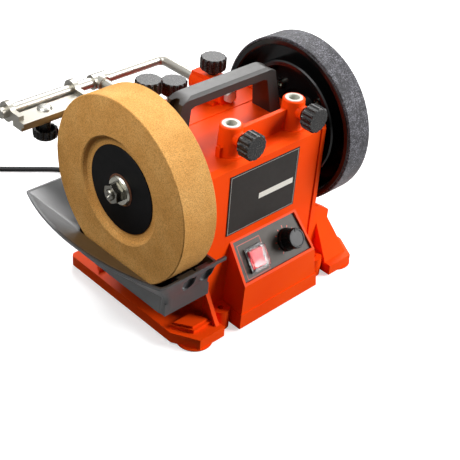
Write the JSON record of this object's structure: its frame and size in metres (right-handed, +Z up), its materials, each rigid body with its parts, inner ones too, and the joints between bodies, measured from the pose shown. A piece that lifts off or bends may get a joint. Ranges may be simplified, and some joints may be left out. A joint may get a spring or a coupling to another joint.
{
  "type": "wet stone grinder",
  "caption": "Water-cooled bench sharpener: a slow grinding stone in a water tray, a leather honing wheel, and a sliding tool support on a carry-handled housing.",
  "frame": {"origin": "on the floor, in the middle of the four bench holes, under the spindle", "axes": "+X along the spindle from the stone to the honing wheel, -Y out of the control panel, +Z up"},
  "size_m": [0.3692, 0.4843, 0.265],
  "materials": {
    "orange_shell": "glossy moulded shell",
    "rubber": "matt",
    "black_knob": "fine grain",
    "zinc_steel": "bright zinc",
    "ground_steel": "ground",
    "chrome_bar": "polished",
    "grey_panel": "satin",
    "switch_black": "glossy",
    "rocker_red": "glossy",
    "clear_cover": "clear soft boot",
    "circuit": "coated board",
    "handle_grey": "fine grain",
    "white_bush": "smooth",
    "motor_grey": "satin",
    "roller_rubber": "matt",
    "stone": "fine bonded grit",
    "disc_black": "satin print-free disc",
    "fibre": "vulcanised fibre",
    "wheel_black": "glossy moulding",
    "leather": "dark, dressed",
    "black_steel": "blackened",
    "tray_grey": "satin",
    "cord_black": "smooth sheath",
    "tie_grey": "plain"
  },
  "bodies": {
    "machine": {"base_plate": "orange_shell", "rubber_feet": "rubber", "housing": "orange_shell", "right_cover": "orange_shell", "cover_screws": "zinc_steel", "spindle_bearings": "ground_steel", "control_panel": "grey_panel", "switch_bezel": "switch_black", "switch_cover": "clear_cover", "speed_controller": "circuit", "rating_plate": "grey_panel", "carry_handle": "handle_grey", "handle_screws": "zinc_steel", "front_bushes": "white_bush", "rear_bushes": "white_bush", "sleeve_end_bolts": "zinc_steel", "motor": "motor_grey", "motor_bracket": "zinc_steel", "cord_gland": "cord_black", "mains_cord": "cord_black", "cord_coil": "cord_black", "cord_tie": "tie_grey", "mains_plug": "cord_black", "plug_pins": "chrome_bar"},
    "spindle": {"main_shaft": "ground_steel", "grinding_stone": "stone", "stone_disc": "disc_black", "stone_flange": "ground_steel", "fibre_washer": "fibre", "stone_washer": "zinc_steel", "stone_nut": "zinc_steel", "honing_wheel": "wheel_black", "leather_strop": "leather", "drive_ring": "wheel_black", "ring_screws": "black_steel", "wheel_washer": "zinc_steel", "wheel_nut": "zinc_steel"},
    "motor_rotor": {"motor_shaft": "ground_steel", "drive_roller": "roller_rubber"},
    "rocker": {"rocker": "rocker_red"},
    "speed_dial": {"speed_dial": "black_knob"},
    "front_left_clamp": {"front_left_knob": "black_knob", "front_left_stud": "zinc_steel"},
    "front_right_clamp": {"front_right_knob": "black_knob", "front_right_stud": "zinc_steel"},
    "rear_left_clamp": {"rear_left_knob": "black_knob", "rear_left_stud": "zinc_steel"},
    "rear_right_clamp": {"rear_right_knob": "black_knob", "rear_right_stud": "zinc_steel"},
    "tension_screw": {"tension_knob": "black_knob", "tension_stud": "zinc_steel"},
    "support": {"support_bar": "chrome_bar"},
    "jig": {"jig_frame": "chrome_bar", "jig_screw": "chrome_bar"},
    "jig_clamp": {"jig_clamp_plate": "chrome_bar"},
    "jig_knob": {"jig_knob": "black_knob"},
    "tray": {"water_tray": "tray_grey"}
  },
  "joints": [
    {"name": "spindle_spin", "type": "hinge", "parent": "machine", "child": "spindle", "pos_m": [0, 0, 0.165], "axis": [1, 0, 0], "continuous": true},
    {"name": "motor_spin", "type": "hinge", "parent": "machine", "child": "motor_rotor", "pos_m": [0.06, 0.028, 0.131], "axis": [1, 0, 0], "continuous": true},
    {"name": "rocker_tip", "type": "hinge", "parent": "machine", "child": "rocker", "pos_m": [-0.033, -0.08277, 0.07452], "axis": [1, 0, 0], "range_deg": [-18, 0]},
    {"name": "speed_turn", "type": "hinge", "parent": "machine", "child": "speed_dial", "pos_m": [0.0155, -0.08408, 0.07788], "axis": [0, -0.8192, 0.5736], "range_deg": [-140, 140]},
    {"name": "front_left_turn", "type": "hinge", "parent": "machine", "child": "front_left_clamp", "pos_m": [-0.048, -0.063, 0.2155], "axis": [0, -1, 0], "range_deg": [0, 720]},
    {"name": "front_right_turn", "type": "hinge", "parent": "machine", "child": "front_right_clamp", "pos_m": [0.043, -0.063, 0.2155], "axis": [0, -1, 0], "range_deg": [0, 720]},
    {"name": "rear_left_turn", "type": "hinge", "parent": "machine", "child": "rear_left_clamp", "pos_m": [-0.071, 0.054, 0.2215], "axis": [0, 0, 1], "range_deg": [0, 720]},
    {"name": "rear_right_turn", "type": "hinge", "parent": "machine", "child": "rear_right_clamp", "pos_m": [0.02, 0.054, 0.2215], "axis": [0, 0, 1], "range_deg": [0, 720]},
    {"name": "tension_turn", "type": "hinge", "parent": "machine", "child": "tension_screw", "pos_m": [-0.04, 0.05, 0.206], "axis": [0, 0, 1], "range_deg": [0, 720]},
    {"name": "support_slide", "type": "slide", "parent": "machine", "child": "support", "axis": [0, 1, 0], "range_m": [0, 0.03]},
    {"name": "jig_slide", "type": "slide", "parent": "support", "child": "jig", "axis": [1, 0, 0], "range_m": [-0.004, 0.018]},
    {"name": "jig_clamp_slide", "type": "slide", "parent": "jig", "child": "jig_clamp", "axis": [0, 0, -1], "range_m": [0, 0.0055]},
    {"name": "jig_knob_turn", "type": "hinge", "parent": "jig_clamp", "child": "jig_knob", "pos_m": [-0.154, 0.121, 0.175], "axis": [0, 0, -1], "range_deg": [0, 2400]},
    {"name": "tray_lower", "type": "slide", "parent": "machine", "child": "tray", "axis": [0, 0, -1], "range_m": [0, 0.03]}
  ],
  "couplings": [
    {"joint": "motor_spin", "follows": "spindle_spin", "ratio": 3.5218},
    {"joint": "jig_knob_turn", "follows": "jig_clamp_slide", "rad_per_m": 6283.2}
  ]
}
